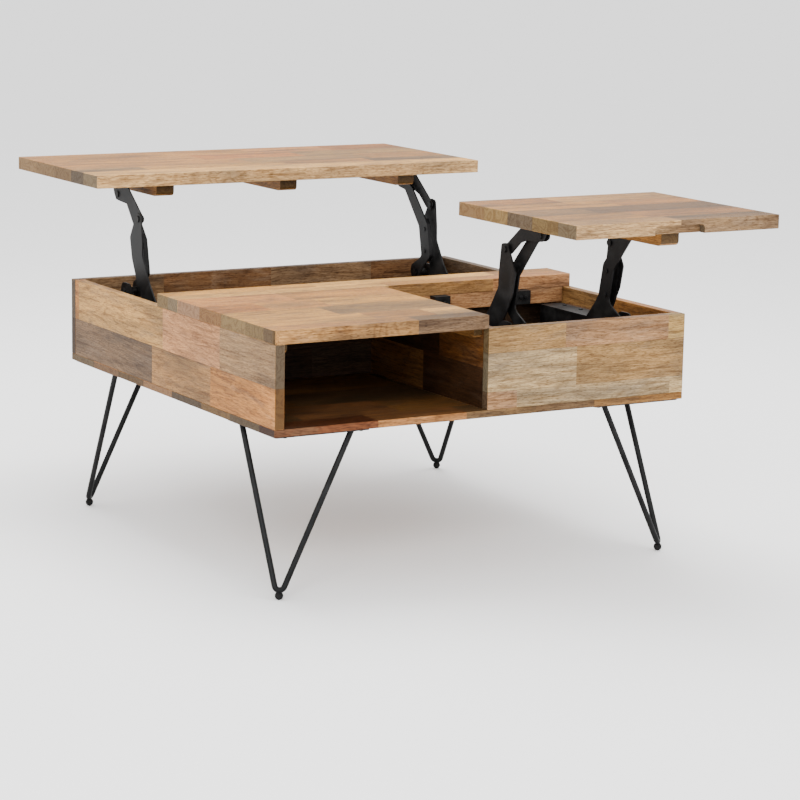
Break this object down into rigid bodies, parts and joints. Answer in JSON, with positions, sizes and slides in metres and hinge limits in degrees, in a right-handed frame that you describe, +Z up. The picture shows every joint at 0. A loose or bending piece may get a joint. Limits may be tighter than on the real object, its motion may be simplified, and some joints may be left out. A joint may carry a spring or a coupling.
{
  "type": "lift top coffee table",
  "caption": "Square wooden coffee table on hairpin legs, with two lids that lift and travel outwards, storage compartments and an open cubby.",
  "frame": {"origin": "on the floor at the table's centre", "axes": "+X to the right seen from the cubby side, +Y to the back, +Z up"},
  "size_m": [0.914, 1.4788, 0.7124],
  "materials": {
    "stave_wood": "clear satin lacquer over mixed staves",
    "stave_wood_dark": "clear satin lacquer, darker staves",
    "black_steel": "satin black powder coat",
    "zinc_steel": "dull zinc",
    "black_rubber": "matt"
  },
  "bodies": {
    "case": {"bottom_board": "stave_wood", "left_side_panel": "stave_wood", "right_side_panel": "stave_wood", "back_panel": "stave_wood", "front_panel": "stave_wood", "cubby_divider": "stave_wood", "centre_partition": "stave_wood_dark", "rail_bearer": "stave_wood_dark", "rail_top": "stave_wood", "fixed_top": "stave_wood", "cubby_cleats": "stave_wood_dark", "lift_ledges": "stave_wood_dark", "lid_rest_blocks": "stave_wood_dark", "hairpin_rod_front_left": "black_steel", "leg_plate_front_left": "black_steel", "foot_front_left": "black_rubber", "hairpin_rod_front_right": "black_steel", "leg_plate_front_right": "black_steel", "foot_front_right": "black_rubber", "hairpin_rod_back_right": "black_steel", "leg_plate_back_right": "black_steel", "foot_back_right": "black_rubber", "hairpin_rod_back_left": "black_steel", "leg_plate_back_left": "black_steel", "foot_back_left": "black_rubber", "leg_screws": "black_steel", "lid_rest_brackets": "black_steel", "base_pivot_pins": "black_steel", "bracket_screws": "black_steel", "large_left_base_bracket": "black_steel", "large_right_base_bracket": "black_steel", "large_springs": "zinc_steel", "small_left_base_bracket": "black_steel", "small_right_base_bracket": "black_steel", "small_springs": "zinc_steel"},
    "large_lid_body": {"large_lid": "stave_wood", "large_lid_battens": "stave_wood", "large_left_lid_bracket": "black_steel", "large_right_lid_bracket": "black_steel", "large_lid_pivot_pins": "black_steel", "large_lid_screws": "black_steel"},
    "large_leading_arms": {"large_left_leading_arm": "black_steel", "large_right_leading_arm": "black_steel"},
    "large_trailing_arms": {"large_left_trailing_arm": "black_steel", "large_right_trailing_arm": "black_steel", "large_crank_shafts": "black_steel"},
    "large_pull_rod_body": {"large_pull_rods": "black_steel"},
    "small_lid_body": {"small_lid": "stave_wood", "small_lid_batten": "stave_wood", "small_left_lid_bracket": "black_steel", "small_right_lid_bracket": "black_steel", "small_lid_pivot_pins": "black_steel", "small_lid_screws": "black_steel"},
    "small_leading_arms": {"small_left_leading_arm": "black_steel", "small_right_leading_arm": "black_steel"},
    "small_trailing_arms": {"small_left_trailing_arm": "black_steel", "small_right_trailing_arm": "black_steel", "small_crank_shafts": "black_steel"},
    "small_pull_rod_body": {"small_pull_rods": "black_steel"}
  },
  "joints": [
    {"name": "large_lift", "type": "hinge", "parent": "case", "child": "large_leading_arms", "pos_m": [0, 0.38546, 0.46276], "axis": [-1, 0, 0], "range_deg": [-113, 0]},
    {"name": "large_lid_pivot", "type": "hinge", "parent": "large_leading_arms", "child": "large_lid_body", "pos_m": [0, 0.46, 0.65694], "axis": [-1, 0, 0], "range_deg": [0, 113]},
    {"name": "large_trailing_pivot", "type": "hinge", "parent": "case", "child": "large_trailing_arms", "pos_m": [0, 0.27146, 0.42276], "axis": [-1, 0, 0], "range_deg": [-113, 0]},
    {"name": "large_spring_travel", "type": "slide", "parent": "case", "child": "large_pull_rod_body", "axis": [0, -1, 0], "range_m": [-0.0419, 0], "deforming": ["large_springs"]},
    {"name": "small_lift", "type": "hinge", "parent": "case", "child": "small_leading_arms", "pos_m": [0, -0.38546, 0.46276], "axis": [1, 0, 0], "range_deg": [-113, 0]},
    {"name": "small_lid_pivot", "type": "hinge", "parent": "small_leading_arms", "child": "small_lid_body", "pos_m": [0, -0.46, 0.65694], "axis": [1, 0, 0], "range_deg": [0, 113]},
    {"name": "small_trailing_pivot", "type": "hinge", "parent": "case", "child": "small_trailing_arms", "pos_m": [0, -0.27146, 0.42276], "axis": [1, 0, 0], "range_deg": [-113, 0]},
    {"name": "small_spring_travel", "type": "slide", "parent": "case", "child": "small_pull_rod_body", "axis": [0, 1, 0], "range_m": [-0.0419, 0], "deforming": ["small_springs"]}
  ],
  "couplings": [
    {"joint": "large_lid_pivot", "follows": "large_lift", "ratio": -1},
    {"joint": "large_trailing_pivot", "follows": "large_lift", "ratio": 1},
    {"joint": "large_spring_travel", "follows": "large_lift", "m_per_rad": 0.021141},
    {"joint": "small_lid_pivot", "follows": "small_lift", "ratio": -1},
    {"joint": "small_trailing_pivot", "follows": "small_lift", "ratio": 1},
    {"joint": "small_spring_travel", "follows": "small_lift", "m_per_rad": 0.021141}
  ]
}
